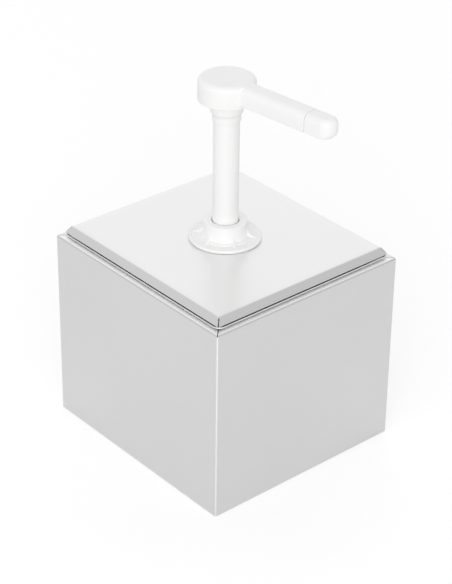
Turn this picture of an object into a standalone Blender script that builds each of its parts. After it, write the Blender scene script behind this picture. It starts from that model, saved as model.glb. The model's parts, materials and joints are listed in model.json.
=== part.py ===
# Countertop pump dispenser: a folded steel housing, a lift-out food pan, a lid
# with bevelled edges, and a plunger pump that hangs from the lid into the pan.
# Units are metres and +Z is up. The origin is the middle of the housing's underside.
# X runs along the housing's narrower side and Y along its deeper side.

import math

import bmesh
import bpy
from mathutils import Matrix, Vector

# Gaps and mesh fineness
SEAT_GAP = 0.0003              # between two pieces that seat on or slide in each other
CUT_OVERRUN = 0.0020           # how far every cutter runs past what it cuts
ROUND_STEPS = 36               # sides of a turned piece that shows
INNER_STEPS = 24               # sides of a turned piece that is hidden
CORNER_STEPS = 4               # steps round each corner of a folded sheet
BEND_STEPS = 3                 # steps round each fold of a sheet
SHARP_ANGLE = math.radians(32)

# Housing
HOUSING_WIDTH = 0.1706         # across X
HOUSING_DEPTH = 0.1841         # across Y
HOUSING_HEIGHT = 0.1516
HOUSING_SHEET = 0.0010
HOUSING_BEND = 0.0016          # outer radius of every fold
LEDGE_WIDTH = 0.0110           # top edge folded inwards, which carries the pan
LEDGE_SLIT = 0.0006            # open mitre seam at each corner of the ledge
SLIT_DROP = 0.0022             # how far the seam runs down the corner
SHARP_CORNER = 0.0003          # least radius of a folded corner

# Base plate
BASE_SHEET = 0.0010
BASE_BEND = 0.0016
BASE_RIM = 0.0100              # height of the upturned edge welded inside the walls

# Food pan
LEDGE_SHOW = 0.0042            # ledge left bare outside the pan's rim
PAN_SHEET = 0.0009
PAN_RIM = 0.0100               # from the rim's edge to the wall
PAN_RIM_CORNER = 0.0055        # corner radius of the rim's edge
PAN_CORNER_GAIN = 0.6          # corner radius gained for each unit of inset
RIM_LIFT = 0.0005              # outer edge of the rim turned slightly up
RIM_LIFT_RUN = 0.0024          # width of that edge
RIM_LIFT_BEND = 0.0030
PAN_LEAN = 0.0075              # how far each wall leans in down to the floor
PAN_MOUTH_BEND = 0.0020
PAN_FLOOR_BEND = 0.0120
PAN_FLOOR_RING = 0.0100        # flat floor outside the last outline
PAN_FLOOR_LIFT = 0.0019        # air under the pan's floor

# Lid plate
LID_SHEET = 0.0008
LID_HEIGHT = 0.0067            # from the seat on the rim to the top of the plate
BEVEL_DROP = 0.0050            # from the top of the plate to the foot of the bevel
PLATE_SETBACK = 0.0045         # plate's edge inside the pan rim's edge
BEVEL_SETBACK = 0.0008         # foot of the bevel inside the pan rim's edge
LID_BEND = 0.0010              # radius of the folds, at the middle of the sheet
LID_CORNER = 0.0006            # radius of the plate's corners
LID_SEAM = 0.0006              # width of the open seam at each corner of the bevel
LID_SEAM_START = 0.0012        # from the plate's corner to the seam
BEVEL_ROUND = 0.0012           # radius of the bevel's ends beside the seam

# Frame welded under the lid
FRAME_SHEET = 0.0008
FRAME_SETBACK = 0.0070         # frame's side inside the pan rim's edge
FRAME_FLANGE = 0.0090          # strip welded to the underside of the plate
FRAME_BEND = 0.0010
LIP_DEPTH = 0.0080             # lip that drops into the pan's mouth
LIP_PLAY = 0.0012              # between the lip and the pan's mouth

# Pump barrel, clamped under the lid
BARREL_BORE = 0.0125           # radius
BARREL_WALL = 0.0020
NECK_WALL = 0.0015
NECK_LENGTH = 0.0117           # from the barrel's flange to the top of its neck
BARREL_FLANGE = 0.0200         # radius
BARREL_FLANGE_THICK = 0.0030
BARREL_FILLET = 0.0025
GASKET_THICK = 0.0015
GASKET_WIDTH = 0.0050

# Bush and wiper round the stem
BUSH_FLANGE_THICK = 0.0015
BUSH_LENGTH = 0.0109
WIPER_THICK = 0.0017
WIPER_LIP = 0.0008

# Lock collar on the lid
COLLAR_WALL = 0.0022
COLLAR_TOP_THICK = 0.0020
COLLAR_BORE_PLAY = 0.0011      # round the stem
COLLAR_CHAMFER = 0.0013
COLLAR_EDGE = 0.0008
FLANGE_RADIUS = 0.0270
FLANGE_THICK = 0.0016
FLANGE_BEAD = 0.0013           # radius of the round bead on the flange's edge
STEP_WIDTH = 0.0024
STEP_HEIGHT = 0.0009
RIB_COUNT = 6
RIB_THICK = 0.0022
RIB_HEIGHT = 0.0092
RIB_FOOT = 0.0004              # rib's height at its outer end
RIB_AZIMUTH = math.radians(-52)
RIB_STEPS = 6

# Stem
STEM_RADIUS = 0.0095
STEM_BORE = 0.0060             # radius
STEM_SPARE = 0.0175            # stem still showing when the plunger is right down
STEM_SOCKET = 0.0142           # length held in the head
STEM_TAIL = 0.0094             # length held in the piston
STEM_RING_GROOVE = 0.0016
STEM_RING_WIRE = 0.00065       # radius of the ring's section
STEM_RING_DROP = 0.0060        # below the stem's top
RING_SIDES = 6

# Piston and its valve
PISTON_PLAY = 0.0006           # piston's body inside the bore
PISTON_FLOOR = 0.0020
PISTON_CHAMFER = 0.0010
SEAL_HEIGHT = 0.0024
SEAL_DEPTH = 0.0010
BALL_RADIUS = 0.00476
BALL_SEAT = 0.0034             # radius of the hole that a ball closes
BALL_GAP = 0.00015
BALL_CHAMBER = 0.0062          # radius
BALL_LIFT = 0.0017
RETAINER_THICK = 0.0018
RETAINER_HOLES = 4
RETAINER_HOLE = 0.0019         # radius

# Spring
SPRING_WIRE = 0.0016           # diameter
SPRING_TURNS = 11
SPRING_SPARE = 0.0023          # left before the coils close
SPRING_PLAY = 0.0011           # between the coils and the bore
SPRING_POINTS_PER_TURN = 9

# Foot valve and dip tube
FOOT_NECK_WALL = 0.0019
FOOT_NECK_LENGTH = 0.0050
FOOT_CONE_LENGTH = 0.0060
FOOT_FLANGE = 0.0155           # radius
FOOT_FLANGE_THICK = 0.0030
FOOT_GROOVE_DEPTH = 0.0013
FOOT_SEAT_RUN = 0.0037         # straight hole under the ball's seat
DIP_RADIUS = 0.0060
DIP_WALL = 0.0015
DIP_SOCKET = 0.0080
DIP_LENGTH = 0.0255
DIP_CLEARANCE = 0.0047         # between the tube's end and the pan's floor

# Head and spout
HEAD_RADIUS = 0.0208
HEAD_HEIGHT = 0.0170
HEAD_ROUND = 0.0040            # round its upper edge
HEAD_EDGE = 0.0005             # round its lower edge
DISH_DEPTH = 0.0010
DISH_CENTRE = 0.0040           # radius of the dish's flat middle
NECK_HEIGHT = 0.0160           # from the neck's lower end to the head's underside
NECK_LIP = 0.0006              # straight lip at the neck's lower end
NECK_LIP_WALL = 0.0008
NECK_FLARE = 0.0080            # height over which the neck widens
NECK_RADIUS = 0.0132           # above the flare
NECK_FILLET = 0.0012           # under the head
NECK_STEPS = 6
SPOUT_AZIMUTH = math.radians(-84)
SPOUT_WIDTH = 0.0160
SPOUT_HEIGHT = 0.0140
SPOUT_SINK = 0.0002            # top of the spout below the head's top
SPOUT_ROUND = 0.0050           # along its upper edges
SPOUT_EDGE = 0.0008            # along its lower edges
SPOUT_JOINT = 0.0785           # from the stem's axis to the tip's joint
SPOUT_FILLET = 0.0030          # where it leaves the head
SPOUT_ROOT = 0.0040            # length of the spout buried in the head
CHANNEL_RADIUS = 0.0042
RISER_RADIUS = 0.0045
TIP_REACH = 0.0130             # from the joint to the nose's centre
TIP_UNDER_ROUND = 0.0045
SPIGOT_RADIUS = 0.0055
SPIGOT_LENGTH = 0.0055
OUTLET_RADIUS = 0.0034
OUTLET_BORE = 0.0026           # radius
OUTLET_DROP = 0.0022
NOSE_STEPS = 12
ARC_STEPS = 4                  # steps round the spout's and the head's edges

# Heights that follow from the sizes above
pan_z = HOUSING_HEIGHT + SEAT_GAP
pan_floor_z = BASE_SHEET + PAN_FLOOR_LIFT
rim_top_z = pan_z + PAN_SHEET
lid_z = rim_top_z + SEAT_GAP
lid_top_z = lid_z + LID_HEIGHT
gasket_z = lid_top_z - LID_SHEET - SEAT_GAP - GASKET_THICK
barrel_flange_z = gasket_z - SEAT_GAP
collar_z = lid_top_z + SEAT_GAP
neck_top_z = barrel_flange_z + NECK_LENGTH
bush_z = neck_top_z + SEAT_GAP
wiper_z = bush_z + BUSH_FLANGE_THICK + SEAT_GAP
collar_roof_z = wiper_z + WIPER_THICK + SEAT_GAP
collar_top_z = collar_roof_z + COLLAR_TOP_THICK

# Valve heights above the floor that holds the ball's seat
ball_rise = math.sqrt(BALL_RADIUS**2 - BALL_SEAT**2) + BALL_GAP
chamber_height = ball_rise + BALL_RADIUS + BALL_LIFT
cone_height = BALL_CHAMBER - BALL_SEAT

# Dip tube and foot valve, from the pan's floor upwards
dip_z = pan_floor_z + PAN_SHEET + DIP_CLEARANCE
foot_z = dip_z + DIP_LENGTH - DIP_SOCKET
foot_socket_top = DIP_SOCKET + SEAT_GAP
foot_seat_height = foot_socket_top + FOOT_SEAT_RUN
foot_flange_height = FOOT_NECK_LENGTH + FOOT_CONE_LENGTH
foot_plug_height = foot_flange_height + FOOT_FLANGE_THICK
foot_top = foot_seat_height + chamber_height
inlet_ball_z = foot_z + foot_seat_height + ball_rise
cage_z = foot_z + foot_top + SEAT_GAP
barrel_foot_z = foot_z + foot_plug_height + SEAT_GAP

# Piston, from the bush downwards
piston_seat_height = PISTON_FLOOR
retainer_height = piston_seat_height + chamber_height + SEAT_GAP
stem_height_in_piston = retainer_height + RETAINER_THICK + SEAT_GAP
piston_length = stem_height_in_piston + STEM_TAIL
piston_z = bush_z - BUSH_LENGTH - SEAT_GAP - piston_length
discharge_ball_z = piston_z + piston_seat_height + ball_rise
stem_z = piston_z + stem_height_in_piston

# Spring, stroke and the head's height
spring_z = cage_z + RETAINER_THICK + SEAT_GAP
spring_length = piston_z - SEAT_GAP - spring_z
spring_solid = SPRING_WIRE * (SPRING_TURNS + 1)
stroke = spring_length - spring_solid - SPRING_SPARE
head_z = collar_top_z + stroke + STEM_SPARE
stem_length = head_z + STEM_SOCKET - SEAT_GAP - stem_z

# Levels in the head, above the neck's lower end
spout_floor = NECK_HEIGHT + HEAD_HEIGHT - SPOUT_SINK - SPOUT_HEIGHT
channel_z = spout_floor + SPOUT_HEIGHT / 2

# Plan sizes and radii that follow from their neighbours
rim_half_x = HOUSING_WIDTH / 2 - LEDGE_SHOW
rim_half_y = HOUSING_DEPTH / 2 - LEDGE_SHOW
neck_radius = BARREL_BORE + NECK_WALL
barrel_radius = BARREL_BORE + BARREL_WALL
stem_hole = STEM_RADIUS + SEAT_GAP
collar_inner = neck_radius + SEAT_GAP
collar_radius = collar_inner + COLLAR_WALL
lid_hole = neck_radius + 2 * SEAT_GAP
piston_radius = BARREL_BORE - PISTON_PLAY
plug_radius = BARREL_BORE - SEAT_GAP


def clear_scene():
    for item in list(bpy.data.objects):
        bpy.data.objects.remove(item, do_unlink=True)


def finish(name, colour, metallic, roughness):
    made = bpy.data.materials.new(name)
    made.use_nodes = True
    shader = made.node_tree.nodes["Principled BSDF"]
    shader.inputs["Base Color"].default_value = (*colour, 1)
    shader.inputs["Metallic"].default_value = metallic
    shader.inputs["Roughness"].default_value = roughness
    return made


def add_piece(name, shape, material, carrier=None):
    mesh = bpy.data.meshes.new(name)
    shape.to_mesh(mesh)
    shape.free()
    mesh.shade_smooth()
    mesh.set_sharp_from_angle(angle=SHARP_ANGLE)
    mesh.materials.append(material)
    piece = bpy.data.objects.new(name, mesh)
    bpy.context.scene.collection.objects.link(piece)
    piece.parent = carrier
    return piece


def world_height(item):
    height = 0
    while item:
        height += item.location.z
        item = item.parent
    return height


def place(piece, height):
    """Set a piece at a height above the ground, whatever carries it."""
    piece.location.z = height - world_height(piece.parent)
    return piece


def pivot(name, height, carrier=None):
    empty = bpy.data.objects.new(name, None)
    bpy.context.scene.collection.objects.link(empty)
    empty.parent = carrier
    return place(empty, height)


# Outlines in plan

def circle(radius, z, steps, x=0):
    turn = math.tau / steps
    return [Vector((x + radius * math.cos(turn * k), radius * math.sin(turn * k), z)) for k in range(steps)]


def rectangle(half_x, half_y, corner, z):
    points = []
    for index, (side_x, side_y) in enumerate(((1, 1), (-1, 1), (-1, -1), (1, -1))):
        for k in range(CORNER_STEPS + 1):
            angle = math.radians(90 * (index + k / CORNER_STEPS))
            x = side_x * (half_x - corner) + corner * math.cos(angle)
            y = side_y * (half_y - corner) + corner * math.sin(angle)
            points.append(Vector((x, y, z)))
    return points


def arc(centre, radius, start, end, steps):
    """Points round an arc in a section, from start to end in degrees."""
    angles = [math.radians(start + (end - start) * k / steps) for k in range(steps + 1)]
    return [(centre[0] + radius * math.cos(a), centre[1] + radius * math.sin(a)) for a in angles]


# Solids from outlines and sections

def loft(outlines, closed=False):
    """Skin a row of outlines of one count of points. Caps close the ends, or the last meets the first."""
    shape = bmesh.new()
    rings = [[shape.verts.new(point) for point in outline] for outline in outlines]
    pairs = list(zip(rings, rings[1:]))
    if closed:
        pairs.append((rings[-1], rings[0]))
    else:
        shape.faces.new(rings[0])
        shape.faces.new(rings[-1])
    for lower, upper in pairs:
        for k, vertex in enumerate(lower):
            shape.faces.new((vertex, lower[k - 1], upper[k - 1], upper[k]))
    bmesh.ops.recalc_face_normals(shape, faces=shape.faces)
    return shape


def turned(name, section, material, carrier=None, steps=ROUND_STEPS, closed=True):
    """Spin a section of (radius, height) points about Z. An open section gets a cap at each end."""
    shape = bmesh.new()
    points = [shape.verts.new((radius, 0, z)) for radius, z in section]
    edges = [shape.edges.new(pair) for pair in zip(points, points[1:])]
    if closed:
        edges.append(shape.edges.new((points[-1], points[0])))
    bmesh.ops.spin(shape, geom=points + edges, axis=(0, 0, 1), angle=math.tau, steps=steps, use_merge=True)
    bmesh.ops.holes_fill(shape, edges=[edge for edge in shape.edges if edge.is_boundary])
    bmesh.ops.recalc_face_normals(shape, faces=shape.faces)
    return add_piece(name, shape, material, carrier)


def extrude(shape, outline, depth, stand):
    """Extrude an outline of (x, y) points along Z by a depth, stood in place by a matrix."""
    face = shape.faces.new([shape.verts.new(stand @ Vector((x, y, 0))) for x, y in outline])
    made = bmesh.ops.extrude_face_region(shape, geom=[face])
    tips = [item for item in made["geom"] if isinstance(item, bmesh.types.BMVert)]
    bmesh.ops.translate(shape, verts=tips, vec=stand.to_3x3() @ Vector((0, 0, depth)))
    bmesh.ops.recalc_face_normals(shape, faces=shape.faces)


def rod(radius, low, high, x=0):
    """Upright rod, solid."""
    return loft([circle(radius, z, INNER_STEPS, x) for z in (low, high)])


def rod_along_x(radius, start, end, z):
    shape = rod(radius, start, end)
    bmesh.ops.transform(shape, matrix=Matrix.Translation((0, 0, z)) @ Matrix.Rotation(math.pi / 2, 4, "Y"),
                        verts=shape.verts)
    return shape


def combine(piece, tool_shape, operation, label):
    """Cut a piece with a shape, or add the shape to it."""
    tool = add_piece(f"{piece.name}_{label}", tool_shape, piece.data.materials[0], piece)
    tool.display_type = "WIRE"
    tool.hide_render = True
    change = piece.modifiers.new(label, "BOOLEAN")
    change.operation = operation
    change.solver = "EXACT"
    change.object = tool


# Folded sheets

def rounded_path(points, bends):
    """Round each inner corner of a line of (inset, height) points with its bend radius."""
    path = [Vector(points[0])]
    for before, corner, after, bend in zip(points, points[1:], points[2:], bends):
        corner = Vector(corner)
        back = (Vector(before) - corner).normalized()
        ahead = (Vector(after) - corner).normalized()
        half = back.angle(ahead) / 2
        centre = corner + (back + ahead).normalized() * bend / math.sin(half)
        first = corner + back * bend / math.tan(half) - centre
        turn = first.angle_signed(corner + ahead * bend / math.tan(half) - centre)
        path += [centre + Matrix.Rotation(-turn * k / BEND_STEPS, 2) @ first for k in range(BEND_STEPS + 1)]
    path.append(Vector(points[-1]))
    return path


def folded(points, bends, sheet, half_x, half_y, corner, closed=False):
    """Fold a sheet round a rectangle. The points give its middle line as insets and heights."""
    path = rounded_path(points, bends)
    sides = ([], [])
    for k, point in enumerate(path):
        into = (point - path[k - 1]).normalized() if k else (path[1] - point).normalized()
        away = (path[k + 1] - point).normalized() if point is not path[-1] else into
        along = (into + away).normalized()
        out = Vector((-along.y, along.x)) * sheet / 2 / into.dot(along)
        for outlines, side in zip(sides, (1, -1)):
            inset = point.x + side * out.x
            radius = max(corner(point.x) - side * out.x, SHARP_CORNER)
            outlines.append(rectangle(half_x - inset, half_y - inset, radius, point.y + side * out.y))
    return loft(sides[0] + sides[1][::-1], closed)


def corner_frames(half_x, half_y, z):
    """Matrices at the four corners of a rectangle, each with X pointing to the middle."""
    corners = ((half_x, half_y), (-half_x, half_y), (-half_x, -half_y), (half_x, -half_y))
    turns = [math.atan2(-math.copysign(1, y), -math.copysign(1, x)) for x, y in corners]
    return [Matrix.Translation((x, y, z)) @ Matrix.Rotation(turn, 4, "Z")
            for (x, y), turn in zip(corners, turns)]


def ledge_slits():
    """Thin blades that open the mitre seams of the folded ledge."""
    half = LEDGE_SLIT / 2
    reach = LEDGE_WIDTH * math.sqrt(2) + CUT_OVERRUN
    outline = ((-CUT_OVERRUN, -half), (reach, -half), (reach, half), (-CUT_OVERRUN, half))
    blades = bmesh.new()
    for frame in corner_frames(HOUSING_WIDTH / 2, HOUSING_DEPTH / 2, HOUSING_HEIGHT - SLIT_DROP):
        extrude(blades, outline, SLIT_DROP + CUT_OVERRUN, frame)
    return blades


def bevel_seams(half_x, half_y, reach):
    """Blades that open the bevel's corner seams and round the ends of its flaps."""
    half = LID_SEAM / 2
    centre = (half + BEVEL_ROUND * (1 + math.sqrt(2)), half + BEVEL_ROUND)
    flap = [(reach, half)] + arc(centre, BEVEL_ROUND, 270, 135, ARC_STEPS)
    flap.append((flap[-1][0] - CUT_OVERRUN, flap[-1][1] + CUT_OVERRUN))
    outline = flap + [(-CUT_OVERRUN, 0)] + [(x, -y) for x, y in flap[::-1]]
    blades = bmesh.new()
    for frame in corner_frames(half_x, half_y, -CUT_OVERRUN):
        extrude(blades, outline, LID_HEIGHT + 2 * CUT_OVERRUN, frame)
    return blades


# Housing, base and pan

def make_housing(steel):
    half = HOUSING_SHEET / 2
    points = ((half, 0), (half, HOUSING_HEIGHT - half), (LEDGE_WIDTH, HOUSING_HEIGHT - half))
    shape = folded(points, [HOUSING_BEND - half], HOUSING_SHEET, HOUSING_WIDTH / 2, HOUSING_DEPTH / 2,
                   lambda inset: HOUSING_BEND - inset, closed=True)
    piece = add_piece("housing_shell", shape, steel)
    combine(piece, ledge_slits(), "DIFFERENCE", "ledge_slits")


def make_base(steel):
    """Pressed tray welded inside the foot of the housing."""
    half = BASE_SHEET / 2
    wall = HOUSING_SHEET + SEAT_GAP + half
    points = ((wall + BASE_RIM, half), (wall, half), (wall, BASE_RIM))
    shape = folded(points, [BASE_BEND - half], BASE_SHEET, HOUSING_WIDTH / 2, HOUSING_DEPTH / 2,
                   lambda inset: HOUSING_BEND - inset)
    add_piece("base_plate", shape, steel)


def pan_corner(inset):
    return PAN_RIM_CORNER + PAN_CORNER_GAIN * inset


def make_pan(steel, carrier):
    half = PAN_SHEET / 2
    floor = pan_floor_z - pan_z + half
    foot = PAN_RIM + PAN_LEAN
    points = ((foot + PAN_FLOOR_BEND + PAN_FLOOR_RING, floor), (foot, floor), (PAN_RIM, half),
              (RIM_LIFT_RUN, half), (0, half + RIM_LIFT))
    bends = (PAN_FLOOR_BEND, PAN_MOUTH_BEND, RIM_LIFT_BEND)
    shape = folded(points, bends, PAN_SHEET, rim_half_x, rim_half_y, pan_corner)
    place(add_piece("food_pan", shape, steel, carrier), pan_z)


# Lid and what clamps the pump to it

def make_lid(steel, carrier):
    """Flat plate with its four edges folded down to a bevel."""
    half = LID_SHEET / 2
    plate = LID_HEIGHT - half
    points = ((2 * PLATE_SETBACK, plate), (PLATE_SETBACK, plate), (BEVEL_SETBACK, LID_HEIGHT - BEVEL_DROP))
    shape = folded(points, [LID_BEND], LID_SHEET, rim_half_x, rim_half_y, lambda inset: LID_CORNER)
    piece = add_piece("lid", shape, steel, carrier)
    reach = (PLATE_SETBACK - BEVEL_SETBACK) * math.sqrt(2) - LID_SEAM_START
    seams = bevel_seams(rim_half_x - BEVEL_SETBACK + half, rim_half_y - BEVEL_SETBACK + half, reach)
    combine(piece, seams, "DIFFERENCE", "bevel_seams")
    combine(piece, rod(lid_hole, plate - CUT_OVERRUN, plate + CUT_OVERRUN), "DIFFERENCE", "pump_hole")
    place(piece, lid_z)


def make_lid_frame(steel, carrier):
    """Pressed frame welded under the plate. It rests on the pan's rim and its lip locates in the mouth."""
    half = FRAME_SHEET / 2
    weld = LID_HEIGHT - LID_SHEET - SEAT_GAP - half
    lip = PAN_RIM + PAN_SHEET / 2 + LIP_PLAY + half
    points = ((FRAME_SETBACK + FRAME_FLANGE, weld), (FRAME_SETBACK, weld), (FRAME_SETBACK, half), (lip, half),
              (lip, -LIP_DEPTH))
    shape = folded(points, [FRAME_BEND] * 3, FRAME_SHEET, rim_half_x, rim_half_y, pan_corner, closed=True)
    place(add_piece("lid_frame", shape, steel, carrier), lid_z)


def make_gasket(rubber, carrier):
    inner = neck_radius + SEAT_GAP
    outer = inner + GASKET_WIDTH
    section = ((inner, 0), (outer, 0), (outer, GASKET_THICK), (inner, GASKET_THICK))
    place(turned("lid_gasket", section, rubber, carrier, INNER_STEPS), gasket_z)


def make_collar(plastic, carrier):
    """Flanged nut that screws down over the barrel's neck and clamps the lid."""
    roof = collar_roof_z - collar_z
    top = collar_top_z - collar_z
    hole = STEM_RADIUS + COLLAR_BORE_PLAY
    step = collar_radius + STEP_WIDTH
    bead_in = FLANGE_RADIUS - 2 * FLANGE_BEAD
    bead = (FLANGE_RADIUS - FLANGE_BEAD, FLANGE_THICK - FLANGE_BEAD / 2)
    edge = (collar_radius - COLLAR_EDGE, top - COLLAR_EDGE)
    section = [(collar_inner, 0), (FLANGE_RADIUS - COLLAR_EDGE, 0), (FLANGE_RADIUS, COLLAR_EDGE)]
    section += arc(bead, FLANGE_BEAD, 0, 150, ARC_STEPS)
    section += [(bead[0] - FLANGE_BEAD, FLANGE_THICK), (step, FLANGE_THICK)]
    section += arc((step - STEP_HEIGHT, FLANGE_THICK), STEP_HEIGHT, 45, 90, 1)
    section += [(collar_radius, FLANGE_THICK + STEP_HEIGHT)]
    section += arc(edge, COLLAR_EDGE, 0, 90, BEND_STEPS)
    section += [(hole + COLLAR_CHAMFER, top), (hole, top - COLLAR_CHAMFER)]
    section += [(hole, roof), (collar_inner, roof)]
    piece = turned("lock_collar", section, plastic, carrier)
    combine(piece, collar_ribs(), "UNION", "ribs")
    place(piece, collar_z)


def collar_ribs():
    """Gussets with a hollow curve, from the collar's wall down to the flange."""
    foot = FLANGE_THICK / 2
    inside = collar_radius - COLLAR_WALL / 2
    end = FLANGE_RADIUS - 2 * FLANGE_BEAD
    low = FLANGE_THICK + RIB_FOOT
    outline = [(inside, foot), (end, foot)]
    for k in range(RIB_STEPS + 1):
        angle = math.radians(90 * k / RIB_STEPS)
        run = (end - collar_radius) * (1 - math.sin(angle))
        rise = (RIB_HEIGHT - low) * (1 - math.cos(angle))
        outline.append((collar_radius + run, low + rise))
    outline.append((inside, RIB_HEIGHT))
    upright = Matrix.Translation((0, RIB_THICK / 2, 0)) @ Matrix.Rotation(math.pi / 2, 4, "X")
    ribs = bmesh.new()
    for index in range(RIB_COUNT):
        turn = RIB_AZIMUTH + math.tau * index / RIB_COUNT
        extrude(ribs, outline, RIB_THICK, Matrix.Rotation(turn, 4, "Z") @ upright)
    return ribs


# Pump body

def make_barrel(plastic, carrier):
    bottom = barrel_foot_z - barrel_flange_z
    under = -BARREL_FLANGE_THICK
    section = [(BARREL_BORE, bottom), (barrel_radius - BARREL_WALL / 4, bottom)]
    section += [(barrel_radius, bottom + BARREL_WALL / 2)]
    section += arc((barrel_radius + BARREL_FILLET, under - BARREL_FILLET), BARREL_FILLET, 180, 90, BEND_STEPS)
    section += [(BARREL_FLANGE, under), (BARREL_FLANGE, 0), (neck_radius, 0), (neck_radius, NECK_LENGTH)]
    section += [(BARREL_BORE, NECK_LENGTH)]
    place(turned("pump_barrel", section, plastic, carrier, INNER_STEPS), barrel_flange_z)


def make_bush(plastic, carrier):
    section = ((stem_hole, -BUSH_LENGTH), (plug_radius, -BUSH_LENGTH), (plug_radius, 0), (neck_radius, 0),
               (neck_radius, BUSH_FLANGE_THICK), (stem_hole, BUSH_FLANGE_THICK))
    place(turned("stem_bush", section, plastic, carrier, INNER_STEPS), bush_z)


def make_wiper(rubber, carrier):
    """Flat ring whose thinned lip wipes the stem."""
    shoulder = stem_hole + WIPER_LIP
    section = ((shoulder, 0), (neck_radius, 0), (neck_radius, WIPER_THICK), (shoulder, WIPER_THICK),
               (stem_hole, WIPER_THICK), (stem_hole, WIPER_THICK - WIPER_LIP))
    place(turned("stem_wiper", section, rubber, carrier, INNER_STEPS), wiper_z)


def make_foot(plastic, carrier):
    """Foot valve: takes the dip tube below, and holds the inlet ball on its seat above."""
    socket = DIP_RADIUS + SEAT_GAP
    neck = socket + FOOT_NECK_WALL
    groove = plug_radius - FOOT_GROOVE_DEPTH
    groove_z = foot_plug_height + SEAL_HEIGHT / 2
    section = [(socket, 0), (neck, 0), (neck, FOOT_NECK_LENGTH), (plug_radius, foot_flange_height)]
    section += [(FOOT_FLANGE, foot_flange_height), (FOOT_FLANGE, foot_plug_height)]
    section += [(plug_radius, foot_plug_height), (plug_radius, groove_z), (groove, groove_z)]
    section += [(groove, groove_z + SEAL_HEIGHT), (plug_radius, groove_z + SEAL_HEIGHT)]
    section += [(plug_radius, foot_top), (BALL_CHAMBER, foot_top)]
    section += [(BALL_CHAMBER, foot_seat_height + cone_height), (BALL_SEAT, foot_seat_height)]
    section += [(BALL_SEAT, foot_socket_top), (socket, foot_socket_top)]
    place(turned("foot_valve_body", section, plastic, carrier, INNER_STEPS), foot_z)


def seal_ring(name, inner, outer, height, rubber, carrier, z):
    """Ring of round-cornered section that stands in a groove."""
    corner = (outer - inner) / 4
    section = [(inner, corner), (inner + corner, 0), (outer - corner, 0), (outer, corner)]
    section += [(radius, height - z) for radius, z in section[::-1]]
    place(turned(name, section, rubber, carrier, INNER_STEPS), z)


def make_foot_seal(rubber, carrier):
    inner = plug_radius - FOOT_GROOVE_DEPTH + SEAT_GAP
    height = SEAL_HEIGHT - 2 * SEAT_GAP
    z = foot_z + foot_plug_height + SEAL_HEIGHT / 2 + SEAT_GAP
    seal_ring("foot_valve_seal", inner, plug_radius, height, rubber, carrier, z)


def make_dip_tube(plastic, carrier):
    inner = DIP_RADIUS - DIP_WALL
    section = ((inner, 0), (DIP_RADIUS, 0), (DIP_RADIUS, DIP_LENGTH), (inner, DIP_LENGTH))
    place(turned("dip_tube", section, plastic, carrier, INNER_STEPS), dip_z)


def perforated_disc(name, radius, plastic, carrier, z):
    """Disc that stops a ball's rise and lets the sauce through round it."""
    disc = turned(name, ((radius, 0), (radius, RETAINER_THICK)), plastic, carrier, INNER_STEPS, False)
    outline = circle(RETAINER_HOLE, 0, INNER_STEPS // 2, BALL_CHAMBER - RETAINER_HOLE)
    holes = bmesh.new()
    for index in range(RETAINER_HOLES):
        turn = Matrix.Rotation(math.tau * index / RETAINER_HOLES, 4, "Z")
        frame = turn @ Matrix.Translation((0, 0, -CUT_OVERRUN))
        extrude(holes, [point.xy for point in outline], RETAINER_THICK + 2 * CUT_OVERRUN, frame)
    combine(disc, holes, "DIFFERENCE", "holes")
    place(disc, z)


def make_ball(name, steel, carrier, z):
    shape = bmesh.new()
    bmesh.ops.create_uvsphere(shape, u_segments=INNER_STEPS // 2, v_segments=INNER_STEPS // 3,
                              radius=BALL_RADIUS)
    place(add_piece(name, shape, steel, carrier), z)


def make_spring(steel, carrier):
    """Closed-end coil between the cage and the piston, swept along a helix."""
    wire = SPRING_WIRE / 2
    coil = BARREL_BORE - SPRING_PLAY - wire
    count = SPRING_TURNS * SPRING_POINTS_PER_TURN
    curve = bpy.data.curves.new("return_spring", "CURVE")
    curve.dimensions = "3D"
    curve.bevel_depth = wire
    curve.bevel_resolution = 1
    curve.use_fill_caps = True
    line = curve.splines.new("POLY")
    line.points.add(count)
    run = spring_length - SPRING_WIRE
    for k in range(count + 1):
        share = k / count
        closed = math.sin(math.tau * share) / math.tau
        angle = math.tau * SPRING_TURNS * share
        height = wire + run * (share - closed * (1 - 2 * SPRING_WIRE * SPRING_TURNS / run))
        line.points[k].co = (coil * math.cos(angle), coil * math.sin(angle), height, 1)
    curve.materials.append(steel)
    piece = bpy.data.objects.new("return_spring", curve)
    bpy.context.scene.collection.objects.link(piece)
    piece.parent = carrier
    place(piece, spring_z)
    points = [point.co.xyz for point in line.points]
    apart = range(SPRING_POINTS_PER_TURN // 2, count + 1)
    least = min((points[k] - points[k + step]).length for step in apart for k in range(count + 1 - step))
    print(f"least gap between the spring's coils {least - SPRING_WIRE:.5f} m")


# Plunger

def make_piston(plastic, carrier):
    """Piston with the discharge valve in its floor and the stem's socket above."""
    groove = piston_radius - SEAL_DEPTH
    groove_z = stem_height_in_piston + (STEM_TAIL - SEAL_HEIGHT) / 2
    shelf = piston_seat_height + chamber_height
    section = [(BALL_SEAT, 0), (piston_radius - PISTON_CHAMFER, 0), (piston_radius, PISTON_CHAMFER)]
    section += [(piston_radius, groove_z), (groove, groove_z), (groove, groove_z + SEAL_HEIGHT)]
    section += [(piston_radius, groove_z + SEAL_HEIGHT), (piston_radius, piston_length)]
    section += [(stem_hole, piston_length), (stem_hole, shelf), (BALL_CHAMBER, shelf)]
    section += [(BALL_CHAMBER, piston_seat_height + cone_height), (BALL_SEAT, piston_seat_height)]
    place(turned("piston", section, plastic, carrier, INNER_STEPS), piston_z)


def make_piston_seal(rubber, carrier):
    inner = piston_radius - SEAL_DEPTH + SEAT_GAP
    height = SEAL_HEIGHT - 2 * SEAT_GAP
    z = piston_z + stem_height_in_piston + (STEM_TAIL - SEAL_HEIGHT) / 2 + SEAT_GAP
    seal_ring("piston_seal", inner, plug_radius, height, rubber, carrier, z)


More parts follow.
